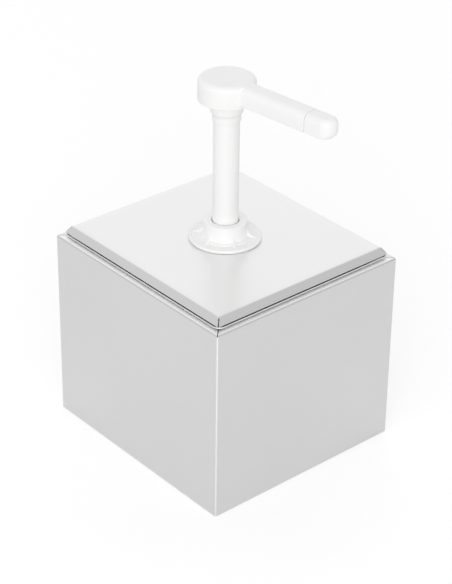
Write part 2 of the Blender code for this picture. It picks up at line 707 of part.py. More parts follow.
def make_stem(plastic, carrier):
    groove = STEM_RADIUS - STEM_RING_GROOVE
    width = 2 * (STEM_RING_WIRE + SEAT_GAP)
    groove_z = stem_length - STEM_RING_DROP
    section = ((STEM_BORE, 0), (STEM_RADIUS, 0), (STEM_RADIUS, groove_z), (groove, groove_z),
               (groove, groove_z + width), (STEM_RADIUS, groove_z + width), (STEM_RADIUS, stem_length),
               (STEM_BORE, stem_length))
    place(turned("plunger_stem", section, plastic, carrier), stem_z)


def make_stem_ring(rubber, carrier):
    radius = STEM_RADIUS - STEM_RING_GROOVE + SEAT_GAP + STEM_RING_WIRE
    section = arc((radius, 0), STEM_RING_WIRE, 0, 300, RING_SIDES - 1)
    z = stem_z + stem_length - STEM_RING_DROP + SEAT_GAP + STEM_RING_WIRE
    place(turned("stem_o_ring", section, rubber, carrier, INNER_STEPS), z)


def head_section():
    """Half section of the head, from the roof of the stem's socket round to the dished top."""
    top = NECK_HEIGHT + HEAD_HEIGHT
    lip = stem_hole + NECK_LIP_WALL
    section = [(stem_hole, STEM_SOCKET), (stem_hole, 0), (lip, 0)]
    for k in range(NECK_STEPS + 1):
        share = k / NECK_STEPS
        widen = (1 - math.cos(math.pi * share)) / 2
        section.append((lip + (NECK_RADIUS - lip) * widen, NECK_LIP + NECK_FLARE * share))
    section += arc((NECK_RADIUS + NECK_FILLET, NECK_HEIGHT - NECK_FILLET), NECK_FILLET, 180, 90, BEND_STEPS)
    section += [(HEAD_RADIUS - HEAD_EDGE, NECK_HEIGHT), (HEAD_RADIUS, NECK_HEIGHT + HEAD_EDGE)]
    section += arc((HEAD_RADIUS - HEAD_ROUND, top - HEAD_ROUND), HEAD_ROUND, 0, 90, ARC_STEPS)
    rim = HEAD_RADIUS - HEAD_ROUND
    for k in range(1, ARC_STEPS + 1):
        share = k / ARC_STEPS
        dip = DISH_DEPTH * math.sin(math.pi / 2 * share)
        section.append((rim + (DISH_CENTRE - rim) * share, top - dip))
    return section


def spout_levels():
    """Insets and heights up the spout's side: its lower edge, then its rounded upper edge."""
    lower = arc((SPOUT_EDGE, SPOUT_EDGE), SPOUT_EDGE, 270, 180, BEND_STEPS)
    return lower + arc((SPOUT_ROUND, SPOUT_HEIGHT - SPOUT_ROUND), SPOUT_ROUND, 180, 90, ARC_STEPS)


def spout_outline(inset, z):
    """Plan of the straight spout, flared into the head's side."""
    half = SPOUT_WIDTH / 2 - inset
    centre_x = math.sqrt((HEAD_RADIUS + SPOUT_FILLET)**2 - (half + SPOUT_FILLET)**2)
    turn = math.degrees(math.atan2(half + SPOUT_FILLET, centre_x))
    side = arc((centre_x, half + SPOUT_FILLET), SPOUT_FILLET, 180 + turn, 270, BEND_STEPS)
    side = [(side[0][0] - SPOUT_ROOT, side[0][1])] + side + [(SPOUT_JOINT, half)]
    return [Vector((x, y, z)) for x, y in side + [(x, -y) for x, y in side[::-1]]]


def tip_outline(side_inset, nose_inset, z):
    """Plan of the tip, with a half-round nose."""
    half = SPOUT_WIDTH / 2 - side_inset
    reach = SPOUT_WIDTH / 2 - nose_inset
    angles = [math.pi * (1 / 2 - k / NOSE_STEPS) for k in range(NOSE_STEPS + 1)]
    nose = [(TIP_REACH + reach * math.cos(angle), half * math.sin(angle)) for angle in angles]
    return [Vector((x, y, z)) for x, y in [(0, half)] + nose + [(0, -half)]]


def make_head(plastic, carrier):
    """Head, neck and spout in one moulding, its channel cored from the spout's open end."""
    piece = turned("pump_head", head_section(), plastic, carrier, closed=False)
    spout = loft([spout_outline(inset, spout_floor + z) for inset, z in spout_levels()])
    combine(piece, spout, "UNION", "spout")
    spigot = rod_along_x(SPIGOT_RADIUS, SPOUT_JOINT - SPIGOT_LENGTH, SPOUT_JOINT + SPIGOT_LENGTH, channel_z)
    combine(piece, spigot, "UNION", "spigot")
    channel = rod_along_x(CHANNEL_RADIUS, 0, SPOUT_JOINT + SPIGOT_LENGTH + CUT_OVERRUN, channel_z)
    combine(piece, channel, "DIFFERENCE", "channel")
    combine(piece, rod(RISER_RADIUS, STEM_SOCKET - CUT_OVERRUN, channel_z), "DIFFERENCE", "riser")
    piece.rotation_euler.z = SPOUT_AZIMUTH
    place(piece, head_z)
    return piece


def make_tip(plastic, head):
    """Moulded tip pushed over the spigot, which closes the channel and turns it down."""
    rounds = []
    for inset, z in arc((TIP_UNDER_ROUND, TIP_UNDER_ROUND), TIP_UNDER_ROUND, 270, 180, ARC_STEPS):
        below = max(SPOUT_EDGE - z, 0)
        rounds.append((SPOUT_EDGE - math.sqrt(SPOUT_EDGE**2 - below**2), inset, z))
    rounds += [(inset, inset, z) for inset, z in spout_levels()[BEND_STEPS + 1:]]
    piece = add_piece("spout_tip", loft([tip_outline(*level) for level in rounds]), plastic, head)
    combine(piece, rod(OUTLET_RADIUS, -OUTLET_DROP, SPOUT_EDGE, TIP_REACH), "UNION", "outlet")
    axis_z = channel_z - spout_floor
    socket = rod_along_x(SPIGOT_RADIUS + SEAT_GAP, -CUT_OVERRUN, SPIGOT_LENGTH + SEAT_GAP, axis_z)
    combine(piece, socket, "DIFFERENCE", "socket")
    combine(piece, rod_along_x(CHANNEL_RADIUS, 0, TIP_REACH + OUTLET_BORE, axis_z), "DIFFERENCE", "channel")
    outlet_bore = rod(OUTLET_BORE, -OUTLET_DROP - CUT_OVERRUN, axis_z, TIP_REACH)
    combine(piece, outlet_bore, "DIFFERENCE", "outlet_bore")
    piece.location = (SPOUT_JOINT + SEAT_GAP, 0, spout_floor)


def build():
    clear_scene()
    steel = finish("brushed_steel", (0.72, 0.72, 0.73), 1, 0.34)
    bright_steel = finish("bright_steel", (0.78, 0.78, 0.79), 1, 0.15)
    white = finish("white_plastic", (0.90, 0.90, 0.89), 0, 0.30)
    clear = finish("milky_plastic", (0.80, 0.82, 0.82), 0, 0.35)
    rubber = finish("white_rubber", (0.70, 0.70, 0.69), 0, 0.70)

    make_housing(steel)
    make_base(steel)

    pan_lift = pivot("pan_lift", pan_z)
    make_pan(steel, pan_lift)

    lid_lift = pivot("lid_lift", lid_z, pan_lift)
    make_lid(steel, lid_lift)
    make_lid_frame(steel, lid_lift)
    make_gasket(rubber, lid_lift)
    make_collar(white, lid_lift)
    make_wiper(rubber, lid_lift)
    make_bush(white, lid_lift)
    make_barrel(white, lid_lift)
    make_foot(white, lid_lift)
    make_foot_seal(rubber, lid_lift)
    make_dip_tube(clear, lid_lift)
    perforated_disc("inlet_ball_cage", plug_radius, white, lid_lift, cage_z)
    make_spring(bright_steel, lid_lift)
    inlet_lift = pivot("inlet_ball_lift", inlet_ball_z, lid_lift)
    make_ball("inlet_ball", bright_steel, inlet_lift, inlet_ball_z)

    plunger_press = pivot("plunger_press", piston_z, lid_lift)
    make_piston(white, plunger_press)
    make_piston_seal(rubber, plunger_press)
    perforated_disc("ball_retainer", STEM_RADIUS, white, plunger_press, piston_z + retainer_height)
    discharge_lift = pivot("discharge_ball_lift", discharge_ball_z, plunger_press)
    make_ball("discharge_ball", bright_steel, discharge_lift, discharge_ball_z)

    head_swivel = pivot("head_swivel", head_z, plunger_press)
    make_stem(white, head_swivel)
    make_stem_ring(rubber, head_swivel)
    head = make_head(white, head_swivel)
    make_tip(white, head)
    print(f"stroke {stroke:.5f} m, spring {spring_length:.5f} m, neck's lower end at {head_z:.5f} m")


build()
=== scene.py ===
# Countertop pump dispenser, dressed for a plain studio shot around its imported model.
# Lengths are metres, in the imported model's own frame: +Z up, the pump's stem on the Z axis.

import json
import math

import bmesh
import bpy
from mathutils import Matrix, Vector


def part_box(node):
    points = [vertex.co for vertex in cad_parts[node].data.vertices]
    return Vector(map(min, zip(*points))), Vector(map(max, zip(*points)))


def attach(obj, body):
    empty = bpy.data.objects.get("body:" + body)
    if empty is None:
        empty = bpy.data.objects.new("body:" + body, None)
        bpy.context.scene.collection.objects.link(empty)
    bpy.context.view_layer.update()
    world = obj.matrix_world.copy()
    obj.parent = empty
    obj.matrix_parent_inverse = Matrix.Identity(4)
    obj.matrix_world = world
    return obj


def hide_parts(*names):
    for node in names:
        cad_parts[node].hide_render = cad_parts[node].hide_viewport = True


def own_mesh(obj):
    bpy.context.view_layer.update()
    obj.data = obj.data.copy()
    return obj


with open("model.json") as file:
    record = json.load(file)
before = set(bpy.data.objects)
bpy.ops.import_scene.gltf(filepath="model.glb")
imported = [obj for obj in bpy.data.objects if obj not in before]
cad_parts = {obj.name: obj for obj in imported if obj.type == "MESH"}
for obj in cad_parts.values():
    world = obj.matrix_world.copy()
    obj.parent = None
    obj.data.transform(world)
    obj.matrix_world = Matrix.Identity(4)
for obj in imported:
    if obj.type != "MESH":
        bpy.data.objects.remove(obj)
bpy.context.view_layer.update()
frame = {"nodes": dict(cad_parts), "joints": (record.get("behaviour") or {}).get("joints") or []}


# Shader building

class Socket:  # one output socket, so that shader maths reads as plain expressions
    def __init__(self, nodes, socket):
        self.nodes = nodes
        self.socket = socket

    def maths(self, operation, other):
        return self.nodes.node("ShaderNodeMath", {"operation": operation}, {0: self, 1: other})

    def __add__(self, other):
        return self.maths("ADD", other)

    def __mul__(self, other):
        return self.maths("MULTIPLY", other)

    def __sub__(self, other):
        return self.maths("SUBTRACT", other)

    def __rsub__(self, other):
        return (self * -1) + other

    __radd__ = __add__
    __rmul__ = __mul__


class Nodes:  # adds nodes to one tree
    def __init__(self, tree):
        self.tree = tree

    def put(self, socket, value):  # links a socket, or sets a plain value
        if isinstance(value, Socket):
            self.tree.links.new(value.socket, socket)
        else:
            socket.default_value = value

    def node(self, kind, settings=None, sockets=None, output=0):
        made = self.tree.nodes.new(kind)
        for name, value in (settings or {}).items():
            setattr(made, name, value)
        for name, value in (sockets or {}).items():
            self.put(made.inputs[name], value)
        return Socket(self, made.outputs[output])

    def dot(self, vector, axis):
        return self.node("ShaderNodeVectorMath", {"operation": "DOT_PRODUCT"}, {0: vector, 1: axis}, "Value")


class Shade(Nodes):  # one material, through its Principled shader
    def __init__(self, name, **constants):
        self.material = bpy.data.materials.new(name)
        self.material.use_nodes = True
        super().__init__(self.material.node_tree)
        self.shader = self.tree.nodes["Principled BSDF"]
        self.feed(**constants)

    def feed(self, **values):
        for name, value in values.items():
            self.put(self.shader.inputs[name.replace("_", " ")], value)

    def place(self):  # the surface's own place, which follows the piece as it moves
        return self.node("ShaderNodeTexCoord", output="Object")

    def stretched(self, scale):  # that place, stretched for a grain
        return self.node("ShaderNodeMapping", None, {"Vector": self.place(), "Scale": scale})

    def noise(self, vector, scale, detail=2.0, ragged=0.5):
        sockets = {"Vector": vector, "Scale": scale, "Detail": detail, "Roughness": ragged}
        return self.node("ShaderNodeTexNoise", None, sockets)

    def mix(self, factor, first, second):  # inputs 6 and 7 and output 2 are the colour ones
        return self.node("ShaderNodeMix", {"data_type": "RGBA"}, {0: factor, 6: first, 7: second}, 2)

    def bump(self, height, strength, distance):
        sockets = {"Height": height, "Strength": strength, "Distance": distance}
        return self.node("ShaderNodeBump", None, sockets)


def grey(level, warm=0.0):
    return (level * (1 + warm), level, level * (1 - warm), 1)


def greyPair(level, swing, warm=0.0):  # the two ends of a tone that varies
    return grey(level - swing, warm), grey(level + swing, warm)


# Finishes

steelLook = {
    "tone": 0.84,          # reflectance of the clean sheet
    "toneSwing": 0.025,    # how much the grain lightens and darkens it
    "warm": 0.001,
    "roughness": 0.30,
    "roughnessSwing": 0.07,
    "grainAcross": 5200.0,  # grain lines per metre, about
    "grainAlong": 45.0,
    "grainDetail": 3.0,
    "grainRagged": 0.6,
    "grainBump": 0.25,
    "grainDepth": 0.000012,
    "cloudScale": 9.0,     # slow clouding of the finish
    "cloudTone": 0.030,
    "cloudRoughness": 0.015,
}


def steelFinish(name, grain, tone=steelLook["tone"], roughness=steelLook["roughness"], **constants):
    # Grain is the axis that the brushing runs along.
    look = steelLook
    shade = Shade(name, Metallic=1.0, **constants)
    scale = [look["grainAcross"]] * 3
    scale["XYZ".index(grain)] = look["grainAlong"]
    grainLines = shade.noise(shade.stretched(scale), 1.0, look["grainDetail"], look["grainRagged"])
    lines = grainLines - 0.5
    clouds = shade.noise(shade.place(), look["cloudScale"]) - 0.5
    lift = lines * look["toneSwing"] + clouds * look["cloudTone"] + 0.5
    colour = shade.mix(lift, *greyPair(tone, 0.5, look["warm"]))  # one step of lift is one step of tone
    rough = lines * look["roughnessSwing"] + clouds * look["cloudRoughness"] + roughness
    shade.feed(Base_Color=colour, Roughness=rough,
               Normal=shade.bump(grainLines, look["grainBump"], look["grainDepth"]))
    return shade.material


def steelPair(name, **look):  # one finish, brushed along X and along Y
    return {grain: steelFinish(name + "Along" + grain, grain, **look) for grain in "XY"}


plasticLook = {
    "tone": 0.95,
    "toneSwing": 0.015,
    "warm": 0.003,
    "roughness": 0.36,
    "roughnessSwing": 0.08,
    "peelScale": 900.0,    # fine moulded texture
    "peelBump": 0.2,
    "peelDepth": 0.00002,
    "flowScale": 38.0,     # slow flow marks from moulding
    "flowDetail": 3.0,
    "flowRagged": 0.6,
}
milkyLook = {"tone": 0.78, "warm": -0.004, "Transmission_Weight": 0.35}


def plasticFinish(name, tone=plasticLook["tone"], warm=plasticLook["warm"], **constants):
    look = plasticLook
    shade = Shade(name, **constants)
    peel = shade.noise(shade.place(), look["peelScale"])
    flow = shade.noise(shade.place(), look["flowScale"], look["flowDetail"], look["flowRagged"])
    colour = shade.mix(flow, *greyPair(tone, look["toneSwing"], warm))
    rough = (flow + peel - 1) * look["roughnessSwing"] + look["roughness"]
    shade.feed(Base_Color=colour, Roughness=rough,
               Normal=shade.bump(peel, look["peelBump"], look["peelDepth"]))
    return shade.material


rubberLook = {
    "tone": 0.62,
    "toneSwing": 0.0372,
    "warm": 0.01,
    "roughness": 0.72,
    "roughnessSwing": 0.12,
    "grainScale": 1400.0,  # fine matt grain
    "grainDetail": 3.0,
    "grainRagged": 0.7,
    "grainBump": 0.35,
    "grainDepth": 0.00004,
}


def rubberFinish():
    look = rubberLook
    shade = Shade("siliconeRubber")
    grain = shade.noise(shade.place(), look["grainScale"], look["grainDetail"], look["grainRagged"])
    colour = shade.mix(grain, *greyPair(look["tone"], look["toneSwing"], look["warm"]))
    rough = (grain - 0.5) * look["roughnessSwing"] + look["roughness"]
    shade.feed(Base_Color=colour, Roughness=rough,
               Normal=shade.bump(grain, look["grainBump"], look["grainDepth"]))
    return shade.material


polishedLook = {
    "tone": 0.74,
    "toneSwing": 0.0296,
    "roughness": 0.17,
    "roughnessSwing": 0.08,
    "drawnScale": 2600.0,  # faint marks from drawing and grinding
    "drawnBump": 0.2,
    "drawnDepth": 0.00001,
}


def polishedFinish():
    look = polishedLook
    shade = Shade("polishedSteel", Metallic=1.0)
    drawn = shade.noise(shade.place(), look["drawnScale"])
    colour = shade.mix(drawn, *greyPair(look["tone"], look["toneSwing"]))
    shade.feed(Base_Color=colour, Roughness=drawn * look["roughnessSwing"] + look["roughness"],
               Normal=shade.bump(drawn, look["drawnBump"], look["drawnDepth"]))
    return shade.material


sheetSteel = steelFinish("brushedSteelAlongX", "X")
whitePlastic = plasticFinish("whitePlastic")
milkyPlastic = plasticFinish("milkyPlastic", **milkyLook)
siliconeRubber = rubberFinish()
polishedSteel = polishedFinish()
print("finishes ready")


# Shapes

smoothAngle = math.radians(34)
seatGap = 0.0003           # between a piece and what carries it
cutOverrun = 0.002         # how far a cutting shape passes what it cuts
weldReach = 1e-6           # vertices this close together are one
leastCorner = 0.0003       # tightest corner of a folded sheet
sheetSteps = {"corner": 8, "bend": 6}


def addPiece(name, shape, material, body, slotName, *nodes):
    mesh = bpy.data.meshes.new(name)
    shape.to_mesh(mesh)
    shape.free()
    mesh.shade_smooth()
    mesh.set_sharp_from_angle(angle=smoothAngle)
    mesh.materials.append(material)
    piece = bpy.data.objects.new(name, mesh)
    bpy.context.scene.collection.objects.link(piece)
    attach(piece, body)
    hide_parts(*nodes)
    return piece


def finishFaces(piece, choose):  # gives each face the finish chosen for it
    materials = piece.data.materials
    for face in piece.data.polygons:
        finish = choose(face)
        if finish.name not in materials:
            materials.append(finish)
        face.material_index = materials.find(finish.name)


def combine(piece, shape, operation):  # cut or add a shape at once, and leave a plain mesh
    tool = bpy.data.objects.new("tool", bpy.data.meshes.new("tool"))
    shape.to_mesh(tool.data)
    shape.free()
    bpy.context.scene.collection.objects.link(tool)
    change = piece.modifiers.new("change", "BOOLEAN")
    change.operation = operation
    change.solver = "EXACT"
    change.object = tool
    bpy.context.view_layer.update()
    graph = bpy.context.evaluated_depsgraph_get()
    result = bpy.data.meshes.new_from_object(piece.evaluated_get(graph))
    piece.modifiers.clear()
    piece.data = result
    result.shade_smooth()
    result.set_sharp_from_angle(angle=smoothAngle)
    bpy.data.objects.remove(tool)


def arc(centre, radius, start, end, steps):
    angles = [math.radians(start + (end - start) * k / steps) for k in range(steps + 1)]
    return [(centre[0] + radius * math.cos(angle), centre[1] + radius * math.sin(angle)) for angle in angles]


def circle(radius, z, steps, x=0.0):
    turn = math.tau / steps
    angles = [turn * k for k in range(steps)]
    return [Vector((x + radius * math.cos(angle), radius * math.sin(angle), z)) for angle in angles]


def rectangle(halfX, halfY, corner, z, steps):
    points = []
    for index, (sideX, sideY) in enumerate(((1, 1), (-1, 1), (-1, -1), (1, -1))):
        for k in range(steps + 1):
            angle = math.radians(90 * (index + k / steps))
            x = sideX * (halfX - corner) + corner * math.cos(angle)
            y = sideY * (halfY - corner) + corner * math.sin(angle)
            points.append(Vector((x, y, z)))
    return points


def loft(outlines, closed=False):
    shape = bmesh.new()
    rings = [[shape.verts.new(point) for point in outline] for outline in outlines]
    pairs = list(zip(rings, rings[1:]))
    if closed:
        pairs.append((rings[-1], rings[0]))
    else:
        shape.faces.new(rings[0])
        shape.faces.new(rings[-1])
    for lower, upper in pairs:
        for k, vertex in enumerate(lower):
            shape.faces.new((vertex, lower[k - 1], upper[k - 1], upper[k]))
    bmesh.ops.recalc_face_normals(shape, faces=shape.faces)
    return shape


def spun(section, steps, closed=True):
    shape = bmesh.new()
    points = [shape.verts.new((radius, 0, z)) for radius, z in section]
    edges = [shape.edges.new(pair) for pair in zip(points, points[1:])]
    if closed:
        edges.append(shape.edges.new((points[-1], points[0])))
    bmesh.ops.spin(shape, geom=points + edges, axis=(0, 0, 1), angle=math.tau, steps=steps,
                   use_merge=True)
    bmesh.ops.holes_fill(shape, edges=[edge for edge in shape.edges if edge.is_boundary])
    bmesh.ops.recalc_face_normals(shape, faces=shape.faces)
    return shape


def extrude(shape, outline, depth, stand):
    face = shape.faces.new([shape.verts.new(stand @ Vector((x, y, 0))) for x, y in outline])
    made = bmesh.ops.extrude_face_region(shape, geom=[face])
    tips = [item for item in made["geom"] if isinstance(item, bmesh.types.BMVert)]
    bmesh.ops.translate(shape, verts=tips, vec=stand.to_3x3() @ Vector((0, 0, depth)))
    bmesh.ops.recalc_face_normals(shape, faces=shape.faces)


def rod(radius, low, high, x=0.0, steps=64):
    return loft([circle(radius, z, steps, x) for z in (low, high)])


def rodAlongX(radius, start, end, z):
    shape = rod(radius, start, end)
    lay = Matrix.Translation((0, 0, z)) @ Matrix.Rotation(math.pi / 2, 4, "Y")
    bmesh.ops.transform(shape, matrix=lay, verts=shape.verts)
    return shape


def roundedPath(points, bends):
    path = [Vector(points[0])]
    for before, corner, after, bend in zip(points, points[1:], points[2:], bends):
        corner = Vector(corner)
        back = (Vector(before) - corner).normalized()
        ahead = (Vector(after) - corner).normalized()
        half = back.angle(ahead) / 2
        centre = corner + (back + ahead).normalized() * bend / math.sin(half)
        first = corner + back * bend / math.tan(half) - centre
        turn = first.angle_signed(corner + ahead * bend / math.tan(half) - centre)
        steps = sheetSteps["bend"]
        path += [centre + Matrix.Rotation(-turn * k / steps, 2) @ first for k in range(steps + 1)]
    path.append(Vector(points[-1]))
    return path


def foldedSheet(points, bends, sheet, halfX, halfY, corner, closed=False):
    # Points give the fold's section as inset from the outside and height, and corner gives its plan radius.
    path = roundedPath(points, bends)
    sides = ([], [])
    for k, point in enumerate(path):
        into = (point - path[k - 1]).normalized() if k else (path[1] - point).normalized()
        away = (path[k + 1] - point).normalized() if point is not path[-1] else into
        along = (into + away).normalized()
        out = Vector((-along.y, along.x)) * sheet / 2 / into.dot(along)
        for outlines, side in zip(sides, (1, -1)):
            inset = point.x + side * out.x
            radius = max(corner(point.x) - side * out.x, leastCorner)
            z = point.y + side * out.y
            outlines.append(rectangle(halfX - inset, halfY - inset, radius, z, sheetSteps["corner"]))
    return loft(sides[0] + sides[1][::-1], closed)


def cornerFrames(halfX, halfY, z):
    corners = ((halfX, halfY), (-halfX, halfY), (-halfX, -halfY), (halfX, -halfY))
    turns = [math.atan2(-math.copysign(1, y), -math.copysign(1, x)) for x, y in corners]
    return [Matrix.Translation((x, y, z)) @ Matrix.Rotation(turn, 4, "Z")
            for (x, y), turn in zip(corners, turns)]


def respun(node, name, material, body, slotName, steps=72):
    # A turned piece is spun again, finer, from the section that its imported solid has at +X.
    solid = bmesh.new()
    solid.from_mesh(frame["nodes"][node].data)
    bmesh.ops.remove_doubles(solid, verts=solid.verts, dist=weldReach)
    flat = {vertex for vertex in solid.verts if abs(vertex.co.y) < weldReach and vertex.co.x > 0}
    others = [vertex for vertex in solid.verts if vertex not in flat]
    bmesh.ops.delete(solid, geom=others, context="VERTS")
    bmesh.ops.delete(solid, geom=list(solid.faces), context="FACES_ONLY")
    bmesh.ops.spin(solid, geom=list(solid.verts) + list(solid.edges), axis=(0, 0, 1), angle=math.tau,
                   steps=steps, use_merge=True)
    bmesh.ops.recalc_face_normals(solid, faces=solid.faces)
    return addPiece(name, solid, material, body, slotName, node)


def smoothed(node, name, material, body, slotName):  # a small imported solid, welded and shaded smooth
    solid = bmesh.new()
    solid.from_mesh(frame["nodes"][node].data)
    bmesh.ops.remove_doubles(solid, verts=solid.verts, dist=weldReach)
    return addPiece(name, solid, material, body, slotName, node)


# Housing

housing = {
    "sheet": 0.0010,
    "bend": 0.0016,        # outer radius of every fold
    "ledge": 0.0110,       # top edge folded inwards
    "slit": 0.0006,        # open mitre at each corner of the ledge
    "slitDrop": 0.0014,
    "walls": {"tone": 0.865, "roughness": 0.42, "Anisotropic": 0.8, "Anisotropic_Rotation": 0.25},
    # painted light: the two near ledges get a brighter tone; they are rougher too
    "ledgePaintedLight": {"tone": 0.99, "roughness": 0.52},
    "ledgePaintedShade": {"tone": 0.72},  # painted shade: a darker tone on the two sides turned away from the lamp
    "fold": {"tone": 0.74, "roughness": 0.30},  # painted shade: a darker tone where the sheet bends over the top edge
    "ledgeFacing": 0.9,    # a face whose normal rises more than this is on the ledge
    "foldFacing": 0.15,    # and more than this, on the fold
}
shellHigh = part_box("housing_shell")[1]
wallSteel = steelPair("wallSteel", **housing["walls"])
# lit and shaded copies of the ledge's steel: painted light on the near sides, painted shade on the far sides
paintedLightLedgeSteel = steelPair("paintedLightLedge", **housing["ledgePaintedLight"])
paintedShadeLedgeSteel = steelPair("paintedShadeLedgeSteel", **housing["ledgePaintedShade"])
foldPaintedShadeSteel = steelFinish("foldPaintedShadeSteel", "X", **housing["fold"])


def housingFinish(face):  # the brushing runs level round the walls and along the ledge
    look = housing
    normal = face.normal
    place = face.center
    # the ledge takes painted light on its two near sides and painted shade on its two far sides
    if normal.z > look["ledgeFacing"]:
        alongY = shellHigh.x - abs(place.x) < shellHigh.y - abs(place.y)
        far = (place.x if alongY else place.y) > 0
        return (paintedShadeLedgeSteel if far else paintedLightLedgeSteel)["Y" if alongY else "X"]
    # the bend over the top edge takes painted shade
    if normal.z > look["foldFacing"]:
        return foldPaintedShadeSteel
    return wallSteel["Y" if abs(normal.x) > abs(normal.y) else "X"]


def dressHousing():
    look = housing
    half = look["sheet"] / 2
    top = shellHigh.z - half
    points = ((half, 0), (half, top), (look["ledge"], top))
    shape = foldedSheet(points, [look["bend"] - half], look["sheet"], shellHigh.x, shellHigh.y,
                        lambda inset: look["bend"] - inset, closed=True)
    piece = addPiece("housingShell", shape, wallSteel["X"], "base", "brushed_steel", "housing_shell")
    reach = look["ledge"] * math.sqrt(2) + cutOverrun
    wide = look["slit"] / 2
    outline = ((-cutOverrun, -wide), (reach, -wide), (reach, wide), (-cutOverrun, wide))
    blades = bmesh.new()
    for stand in cornerFrames(shellHigh.x, shellHigh.y, shellHigh.z - look["slitDrop"]):
        extrude(blades, outline, look["slitDrop"] + cutOverrun, stand)
    combine(piece, blades, "DIFFERENCE")
    finishFaces(piece, housingFinish)


base = {
    "sheet": 0.0010,
    "bend": 0.0016,
    "rim": 0.0100,         # turned up inside the walls
}


def dressBase():
    look = base
    half = look["sheet"] / 2
    wall = housing["sheet"] + seatGap + half
    points = ((wall + look["rim"], half), (wall, half), (wall, look["rim"]))
    shape = foldedSheet(points, [look["bend"] - half], look["sheet"], shellHigh.x, shellHigh.y,
                        lambda inset: housing["bend"] - inset)
    addPiece("basePlate", shape, sheetSteel, "base", "brushed_steel", "base_plate")


dressHousing()
dressBase()
print("housing done")


# Pan

pan = {
    "ledgeShow": 0.0042,   # ledge left bare outside the rim
    "sheet": 0.0009,
    "rim": 0.0100,
    "rimCorner": 0.0055,
    "cornerGain": 0.6,     # growth of the corner's radius with the inset
    "lift": 0.0009,        # rim's outer edge turned slightly up
    "liftRun": 0.0024,
    "liftBend": 0.0030,
    "lean": 0.0075,        # how far the walls lean in on their way down
    "mouthBend": 0.0020,
    "floorBend": 0.0120,
    "floorRing": 0.0100,
    # the rim's cut edge is rougher, and its darker tone is painted shade
    "cutEdgeAndShade": {"tone": 0.80, "roughness": 0.70},
    "cutFacing": 0.5,      # most that a normal on the rim's cut edge rises or falls
}
rimHalfX = shellHigh.x - pan["ledgeShow"]
rimHalfY = shellHigh.y - pan["ledgeShow"]
panZ = shellHigh.z + seatGap
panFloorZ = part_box("food_pan")[0].z
cutEdgePaintedShadeSteel = steelFinish("cutEdgePaintedShadeSteel", "X", **pan["cutEdgeAndShade"])


def panCorner(inset):
    return pan["rimCorner"] + pan["cornerGain"] * inset


def panFinish(face):
    # the rim's cut edge takes the rougher finish with painted shade
    onShadedCutEdge = face.center.z > panZ and abs(face.normal.z) < pan["cutFacing"]
    return cutEdgePaintedShadeSteel if onShadedCutEdge else sheetSteel


def dressPan():
    look = pan
    half = look["sheet"] / 2
    foot = look["rim"] + look["lean"]
    rim = panZ + half
    points = ((foot + look["floorBend"] + look["floorRing"], panFloorZ + half), (foot, panFloorZ + half),
              (look["rim"], rim), (look["liftRun"], rim), (0, rim + look["lift"]))
    bends = (look["floorBend"], look["mouthBend"], look["liftBend"])
    shape = foldedSheet(points, bends, look["sheet"], rimHalfX, rimHalfY, panCorner)
    piece = addPiece("foodPan", shape, sheetSteel, "pan", "brushed_steel", "food_pan")
    finishFaces(piece, panFinish)


dressPan()
print("pan done")


# Lid

lid = {
    "sheet": 0.0008,
    "bevelDrop": 0.0054,
    "plateSetback": 0.0045,
    "bevelSetback": 0.0008,
    "bend": 0.0010,
    "corner": 0.0006,
    "seam": 0.0008,        # open seam at each corner of the bevel
    "seamStart": -0.0005,  # from the plate's corner to the seam, which runs a little into the plate
    "flapRound": 0.0005,   # radius of the bevel's ends beside the seam
    "flapSteps": 8,
    "hole": 0.0146,        # radius of the pump's hole
    "bevel": {"tone": 0.79},  # painted shade: the bent edges get a darker tone than the plate
    "bevelFacing": (0.3, 0.75),  # how much a normal on the bevel rises
}
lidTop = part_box("lid")[1].z
bevelPaintedShadeSteel = steelFinish("bevelPaintedShadeSteel", "X", **lid["bevel"])


def lidFinish(face):
    least, most = lid["bevelFacing"]
    # the bevel takes painted shade
    return bevelPaintedShadeSteel if least < face.normal.z < most else sheetSteel


def bevelSeam(reach):  # outline of the blade that opens a corner seam and rounds the ends beside it
    look = lid
    wide = look["seam"] / 2
    bend = look["flapRound"]
    centre = (wide + bend * (1 + math.sqrt(2)), wide + bend)
    flap = [(reach, wide)] + arc(centre, bend, 270, 135, look["flapSteps"])
    flap.append((flap[-1][0] - cutOverrun, flap[-1][1] + cutOverrun))
    return flap + [(-cutOverrun, 0)] + [(x, -y) for x, y in flap[::-1]]


def dressLid():
    look = lid
    half = look["sheet"] / 2
    plate = lidTop - half
    points = ((2 * look["plateSetback"], plate), (look["plateSetback"], plate),
              (look["bevelSetback"], lidTop - look["bevelDrop"]))
    shape = foldedSheet(points, [look["bend"]], look["sheet"], rimHalfX, rimHalfY,
                        lambda inset: look["corner"])
    piece = addPiece("lidPlate", shape, sheetSteel, "lid", "brushed_steel", "lid")
    outline = bevelSeam((look["plateSetback"] - look["bevelSetback"]) * math.sqrt(2) - look["seamStart"])
    edge = half - look["bevelSetback"]
    foot = lidTop - look["bevelDrop"] - cutOverrun
    blades = bmesh.new()
    for stand in cornerFrames(rimHalfX + edge, rimHalfY + edge, foot):
        extrude(blades, outline, look["bevelDrop"] + 2 * cutOverrun, stand)
    combine(piece, blades, "DIFFERENCE")
    combine(piece, rod(look["hole"], plate - cutOverrun, plate + cutOverrun), "DIFFERENCE")
    finishFaces(piece, lidFinish)


lidFrame = {
    "sheet": 0.0008,
    "setback": 0.0070,     # from the lid's outside to the frame's upright wall
    "flange": 0.0090,      # under the plate
    "bend": 0.0010,
    "lip": 0.0080,         # height of the lip that goes into the pan's mouth
    "play": 0.0012,        # between that lip and the pan
}


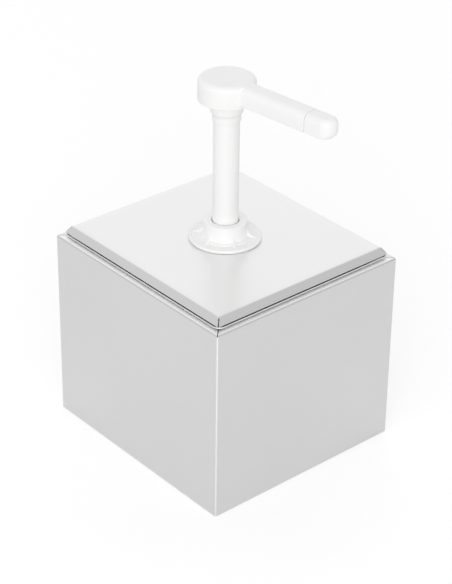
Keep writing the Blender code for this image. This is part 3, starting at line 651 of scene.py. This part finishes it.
def dressLidFrame():
    look = lidFrame
    half = look["sheet"] / 2
    low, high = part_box("lid_frame")
    seat = low.z + look["lip"]
    inner = pan["rim"] + pan["sheet"] / 2 + look["play"] + half
    points = ((look["setback"] + look["flange"], high.z - half), (look["setback"], high.z - half),
              (look["setback"], seat + half), (inner, seat + half), (inner, low.z))
    bends = [look["bend"]] * (len(points) - 2)
    shape = foldedSheet(points, bends, look["sheet"], rimHalfX, rimHalfY, panCorner, closed=True)
    addPiece("lidFrame", shape, sheetSteel, "lid", "brushed_steel", "lid_frame")


dressLid()
dressLidFrame()
print("lid done")


# Lock collar

collar = {
    "steps": 120,
    "bore": 0.0143,        # over the barrel's neck
    "stemPlay": 0.0004,
    "chamfer": 0.0018,
    "edge": 0.0008,
    "roof": 0.0020,        # thickness of the top
    "flangeThick": 0.0016,
    "bead": 0.0013,        # radius of the bead round the flange
    "lipWidth": 0.0016,    # fine lip that meets the lid
    "lipDrop": 0.0002,
    "barrel": 0.0165,      # outer radius of the upright wall
    "stepWidth": 0.0024,
    "stepHeight": 0.0009,
    "ribCount": 6,
    "ribThick": 0.0022,
    "ribHeight": 0.0092,
    "ribFoot": 0.0004,
    "ribTurn": math.radians(-52),
    "ribSteps": 16,
    "ribSharp": math.radians(60),
    "ribRound": 0.0004,    # rounding of the gussets' edges that are sharper than that
    "ribRoundSteps": 3,
    "softSteps": 3,        # arcs of the finest edges
    "beadSteps": 14,
    "stepSteps": 5,
    "rootSteps": 4,
    "edgeSteps": 6,
    "chamferSteps": 5,
}
stemRadius = 0.0095
collarLow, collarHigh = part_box("lock_collar")
flangeRadius = collarHigh.x


def collarRibs(z):
    look = collar
    foot = look["flangeThick"] / 2
    inside = look["barrel"] - look["edge"]
    end = flangeRadius - 2 * look["bead"]
    low = look["flangeThick"] + look["ribFoot"]
    outline = [(inside, foot), (end, foot)]
    for k in range(look["ribSteps"] + 1):
        angle = math.pi / 2 * k / look["ribSteps"]
        run = (end - look["barrel"]) * (1 - math.sin(angle))
        rise = (look["ribHeight"] - low) * (1 - math.cos(angle))
        outline.append((look["barrel"] + run, low + rise))
    outline.append((inside, look["ribHeight"]))
    upright = Matrix.Translation((0, look["ribThick"] / 2, z)) @ Matrix.Rotation(math.pi / 2, 4, "X")
    ribs = bmesh.new()
    for index in range(look["ribCount"]):
        turn = look["ribTurn"] + math.tau * index / look["ribCount"]
        extrude(ribs, outline, look["ribThick"], Matrix.Rotation(turn, 4, "Z") @ upright)
    sharp = [edge for edge in ribs.edges if edge.calc_face_angle(0) > look["ribSharp"]]
    bmesh.ops.bevel(ribs, geom=sharp, offset=look["ribRound"], segments=look["ribRoundSteps"],
                    profile=0.5, affect="EDGES", clamp_overlap=True)
    return ribs


def collarSection():
    look = collar
    top = collarHigh.z - collarLow.z
    flange = look["flangeThick"]
    soft = look["edge"] / 2
    hole = stemRadius + look["stemPlay"]
    step = look["barrel"] + look["stepWidth"]
    bead = (flangeRadius - look["bead"], flange - look["bead"] / 2)
    root = look["edge"]
    rootPlace = (look["barrel"] + root, flange + look["stepHeight"] + root)
    rim = flangeRadius - soft
    section = [(look["bore"], 0), (rim - look["lipWidth"], 0), (rim - look["lipWidth"] / 2, -look["lipDrop"])]
    section += arc((rim, soft - look["lipDrop"]), soft, 270, 360, look["softSteps"])
    section += arc(bead, look["bead"], 0, 150, look["beadSteps"])
    section += arc((bead[0] - look["bead"] - soft, flange + soft), soft, 320, 270, look["softSteps"])
    section.append((step, flange))
    section += arc((step - look["stepHeight"], flange), look["stepHeight"], 20, 90, look["stepSteps"])
    section += arc(rootPlace, root, 270, 180, look["rootSteps"])
    section += arc((look["barrel"] - look["edge"], top - look["edge"]), look["edge"], 0, 90,
                   look["edgeSteps"])
    section += arc((hole + look["chamfer"], top - look["chamfer"]), look["chamfer"], 90, 180,
                   look["chamferSteps"])
    return section + [(hole, top - look["roof"]), (look["bore"], top - look["roof"])]


def dressCollar():
    section = collarSection()
    shape = spun([(radius, collarLow.z + z) for radius, z in section], collar["steps"])
    piece = addPiece("lockCollar", shape, whitePlastic, "lid", "white_plastic", "lock_collar")
    combine(piece, collarRibs(collarLow.z), "UNION")


dressCollar()
print("collar done")


# Head and spout

head = {
    "steps": 128,
    "neckHeight": 0.0160,  # from the neck's lip to the head's underside
    "height": 0.0170,
    "round": 0.0040,       # radius round the top
    "roundSteps": 14,
    "edge": 0.0005,        # and round the underside
    "edgeSteps": 4,
    "dishDepth": 0.0010,
    "dishCentre": 0.0040,  # radius of the dish's flat middle
    "dishSteps": 16,
    "socket": 0.0142,      # how deep the stem goes in
    "lip": 0.0006,
    "lipWall": 0.00055,
    "sleeve": 0.0042,      # straight part of the neck above its lip
    "flare": 0.0036,
    "flareSteps": 16,
    "neck": 0.0119,        # radius above the flare
    "fillet": 0.0012,
    "filletSteps": 6,
    "riser": 0.0045,       # bore from the stem to the spout's channel
}
spout = {
    "azimuth": math.radians(-84),
    "width": 0.0160,
    "height": 0.0140,
    "sink": 0.0002,        # from the head's top down to the spout's
    "round": 0.0050,       # radius along the top
    "roundSteps": 14,
    "edge": 0.0008,        # and along the underside
    "edgeSteps": 4,
    "joint": 0.0785,       # from the stem's axis to the seam before the tip
    "fillet": 0.0030,      # where the spout meets the head
    "filletSteps": 8,
    "root": 0.0040,
    "channel": 0.0042,
    "spigot": 0.0055,      # plug that the tip sits on
    "spigotLength": 0.0055,
    "reach": 0.0130,       # from the joint to the nose's centre
    "noseSteps": 36,
    "noseTrim": 0.00006,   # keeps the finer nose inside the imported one
    "underRound": 0.0045,
    "underSteps": 12,
    "outlet": 0.0046,
    "outletBore": 0.0030,
    "outletDrop": 0.0009,
}
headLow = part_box("pump_head")[0]
headRadius = 0.0208
neckEnd = headLow.z
stemHole = stemRadius + seatGap
spoutFloor = head["neckHeight"] + head["height"] - spout["sink"] - spout["height"]
channelZ = spoutFloor + spout["height"] / 2
headPlace = Matrix.Translation((0, 0, neckEnd)) @ Matrix.Rotation(spout["azimuth"], 4, "Z")


def headSection():
    look = head
    under = look["neckHeight"]
    top = under + look["height"]
    lip = stemHole + look["lipWall"]
    section = [(stemHole, look["socket"]), (stemHole, 0), (lip - look["lip"] / 2, 0), (lip, look["lip"] / 2)]
    for k in range(look["flareSteps"] + 1):
        share = k / look["flareSteps"]
        widen = (1 - math.cos(math.pi * share)) / 2
        section.append((lip + (look["neck"] - lip) * widen, look["sleeve"] + look["flare"] * share))
    fillet = look["fillet"]
    edge = look["edge"]
    rim = headRadius - look["round"]
    section += arc((look["neck"] + fillet, under - fillet), fillet, 180, 90, look["filletSteps"])
    section += arc((headRadius - edge, under + edge), edge, 270, 360, look["edgeSteps"])
    section += arc((rim, top - look["round"]), look["round"], 0, 90, look["roundSteps"])
    for k in range(1, look["dishSteps"] + 1):
        share = k / look["dishSteps"]
        radius = rim + (look["dishCentre"] - rim) * share
        section.append((radius, top - look["dishDepth"] * math.sin(math.pi / 2 * share)))
    return section


def spoutLevels():
    look = spout
    lower = arc((look["edge"], look["edge"]), look["edge"], 270, 180, look["edgeSteps"])
    upper = arc((look["round"], look["height"] - look["round"]), look["round"], 180, 90, look["roundSteps"])
    return lower, upper


def spoutOutline(inset, z):
    look = spout
    half = look["width"] / 2 - inset
    centreX = math.sqrt((headRadius + look["fillet"])**2 - (half + look["fillet"])**2)
    turn = math.degrees(math.atan2(half + look["fillet"], centreX))
    centre = (centreX, half + look["fillet"])
    side = arc(centre, look["fillet"], 180 + turn, 270, look["filletSteps"])
    side = [(side[0][0] - look["root"], side[0][1])] + side + [(look["joint"], half)]
    return [Vector((x, y, z)) for x, y in side + [(x, -y) for x, y in side[::-1]]]


def dressHead():
    look = spout
    piece = addPiece("pumpHead", spun(headSection(), head["steps"], closed=False), whitePlastic, "head",
                     "white_plastic", "pump_head")
    lower, upper = spoutLevels()
    combine(piece, loft([spoutOutline(inset, spoutFloor + z) for inset, z in lower + upper]), "UNION")
    near = look["joint"] - look["spigotLength"]
    far = look["joint"] + look["spigotLength"]
    combine(piece, rodAlongX(look["spigot"], near, far, channelZ), "UNION")
    combine(piece, rodAlongX(look["channel"], 0, far + cutOverrun, channelZ), "DIFFERENCE")
    combine(piece, rod(head["riser"], head["socket"] - cutOverrun, channelZ), "DIFFERENCE")
    piece.data.transform(headPlace)


def tipOutline(sideInset, noseInset, z):
    look = spout
    half = look["width"] / 2 - sideInset - look["noseTrim"]
    reach = look["width"] / 2 - noseInset - look["noseTrim"]
    steps = look["noseSteps"]
    angles = [math.pi * (1 / 2 - k / steps) for k in range(steps + 1)]
    nose = [(look["reach"] + reach * math.cos(angle), half * math.sin(angle)) for angle in angles]
    return [Vector((x, y, z)) for x, y in [(0, half)] + nose + [(0, -half)]]


def dressTip():
    look = spout
    upper = spoutLevels()[1]
    levels = []
    under = look["underRound"]
    for inset, z in arc((under, under), under, 270, 180, look["underSteps"]):
        below = max(look["edge"] - z, 0)
        levels.append((look["edge"] - math.sqrt(look["edge"]**2 - below**2), inset, z))
    levels += [(inset, inset, z) for inset, z in upper]
    piece = addPiece("spoutTip", loft([tipOutline(*level) for level in levels]), whitePlastic, "head",
                     "white_plastic", "spout_tip")
    combine(piece, rod(look["outlet"], -look["outletDrop"], look["edge"], look["reach"]), "UNION")
    axisZ = channelZ - spoutFloor
    socket = rodAlongX(look["spigot"] + seatGap, -cutOverrun, look["spigotLength"] + seatGap, axisZ)
    channel = rodAlongX(look["channel"], 0, look["reach"] + look["outletBore"], axisZ)
    bore = rod(look["outletBore"], -look["outletDrop"] - cutOverrun, axisZ, look["reach"])
    for cutter in (socket, channel, bore):
        combine(piece, cutter, "DIFFERENCE")
    piece.data.transform(headPlace @ Matrix.Translation((look["joint"] + seatGap, 0, spoutFloor)))


dressHead()
dressTip()
print("head and spout done")


# Turned and small pieces

respun("plunger_stem", "plungerStem", whitePlastic, "head", "white_plastic", 96)
respun("stem_o_ring", "stemRing", siliconeRubber, "head", "white_rubber")
respun("pump_barrel", "pumpBarrel", whitePlastic, "lid", "white_plastic", 96)
respun("stem_bush", "stemBush", whitePlastic, "lid", "white_plastic")
respun("stem_wiper", "stemWiper", siliconeRubber, "lid", "white_rubber")
respun("lid_gasket", "lidGasket", siliconeRubber, "lid", "white_rubber")
respun("foot_valve_body", "footValve", whitePlastic, "lid", "white_plastic")
respun("foot_valve_seal", "footSeal", siliconeRubber, "lid", "white_rubber")
respun("dip_tube", "dipTube", milkyPlastic, "lid", "milky_plastic")
respun("piston", "pistonBody", whitePlastic, "piston", "white_plastic")
respun("piston_seal", "pistonSeal", siliconeRubber, "piston", "white_rubber")
smoothed("inlet_ball_cage", "inletCage", whitePlastic, "lid", "white_plastic")
smoothed("ball_retainer", "ballRetainer", whitePlastic, "piston", "white_plastic")
smoothed("inlet_ball", "inletBall", polishedSteel, "inlet_ball", "bright_steel")
smoothed("discharge_ball", "dischargeBall", polishedSteel, "discharge_ball", "bright_steel")


def dressSpring():  # the spring, welded and shaded smooth on a mesh of its own
    piece = smoothed("return_spring", "returnSpring", polishedSteel, "lid", "bright_steel")
    low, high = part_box("return_spring")
    press = next(joint for joint in frame["joints"] if joint["name"] == "plunger_press")
    travel = press["range_m"][1]
    1 - travel / (high.z - low.z)
    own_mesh(piece)


dressSpring()
print("inner pieces done")


# Studio

studio = {
    "side": 0.700,         # sky strength overhead and out to both sides
    "along": 0.46,         # gained before and behind the object
    "across": 0.05,        # gained on the left, lost on the right
    "axis": (0.656, 0.755, 0.0),  # level line from the camera through the object
    "leftward": (-0.755, 0.656, 0.0),
    "floorReach": 12.0,
    "floorTone": 0.80,
    "floorSeen": 0.32,     # lifts the floor to white for the camera
    "floorMirrored": 0.12,  # lifts the floor where the steel shows it
    "keyPower": 14.0,
    "keySize": 1.6,
    "keyPlace": (-1.75, -1.75, 0.85),
    "keyAim": (0.0, 0.0, 0.18),
}


def addFloor():
    look = studio
    shape = bmesh.new()
    bmesh.ops.create_grid(shape, x_segments=1, y_segments=1, size=look["floorReach"])
    mesh = bpy.data.meshes.new("floor")
    shape.to_mesh(mesh)
    shape.free()
    floor = bpy.data.objects.new("floor", mesh)
    bpy.context.scene.collection.objects.link(floor)
    floor.location.z = -seatGap
    shade = Shade("palePaper", Base_Color=grey(look["floorTone"]), Roughness=1.0, Specular_IOR_Level=0.0)
    seen = shade.node("ShaderNodeLightPath", output="Is Camera Ray")
    mirrored = shade.node("ShaderNodeLightPath", output="Is Glossy Ray")
    lift = seen * look["floorSeen"] + mirrored * look["floorMirrored"]
    glow = shade.node("ShaderNodeEmission", None, {"Color": grey(1.0), "Strength": lift})
    paper = Socket(shade, shade.shader.outputs[0])
    total = shade.node("ShaderNodeAddShader", None, {0: paper, 1: glow})
    shade.put(shade.tree.nodes["Material Output"].inputs["Surface"], total)
    mesh.materials.append(shade.material)


def addWorld():
    look = studio
    world = bpy.data.worlds.new("studio")
    world.use_nodes = True
    bpy.context.scene.world = world
    sky = Nodes(world.node_tree)
    way = sky.node("ShaderNodeTexCoord", output="Generated")
    along = sky.dot(way, look["axis"])
    across = sky.dot(way, look["leftward"])
    strength = along * along * look["along"] + across * look["across"] + look["side"]
    seen = sky.node("ShaderNodeLightPath", output="Is Camera Ray")
    background = sky.tree.nodes["Background"]
    sky.put(background.inputs["Color"], grey(1.0))
    sky.put(background.inputs["Strength"], strength * (1 - seen) + seen)  # plain white for the camera


def addKey():
    lamp = bpy.data.lights.new("key", "AREA")
    lamp.energy = studio["keyPower"]
    lamp.size = studio["keySize"]
    light = bpy.data.objects.new("key", lamp)
    bpy.context.scene.collection.objects.link(light)
    light.location = studio["keyPlace"]
    aim = Vector(studio["keyAim"]) - light.location
    light.rotation_euler = aim.to_track_quat("-Z", "Y").to_euler()


camera = {
    "focalPixels": 1936.95,  # in the photograph's 584-pixel height
    "photoHeight": 584,
    "sensor": 0.024,
    "place": (-0.8082, -0.9361, 0.8427),
    "azimuth": math.radians(-130.86),  # of the line back from the object to the camera
    "elevation": math.radians(30.55),
    "roll": math.radians(0.77),
}


def addCamera():
    look = camera
    lens = bpy.data.cameras.new("camera")
    lens.sensor_fit = "VERTICAL"
    lens.sensor_height = look["sensor"] * 1000
    lens.lens = look["focalPixels"] / look["photoHeight"] * look["sensor"] * 1000
    holder = bpy.data.objects.new("camera", lens)
    bpy.context.scene.collection.objects.link(holder)
    azimuth = look["azimuth"]
    elevation = look["elevation"]
    level = math.cos(elevation)
    back = Vector((math.cos(azimuth) * level, math.sin(azimuth) * level, math.sin(elevation)))
    turn = back.to_track_quat("Z", "Y").to_matrix() @ Matrix.Rotation(look["roll"], 3, "Z")
    holder.matrix_world = Matrix.Translation(look["place"]) @ turn.to_4x4()
    bpy.context.scene.camera = holder


addFloor()
addWorld()
addKey()
addCamera()
bpy.context.scene.view_settings.view_transform = "Standard"
print("studio done")
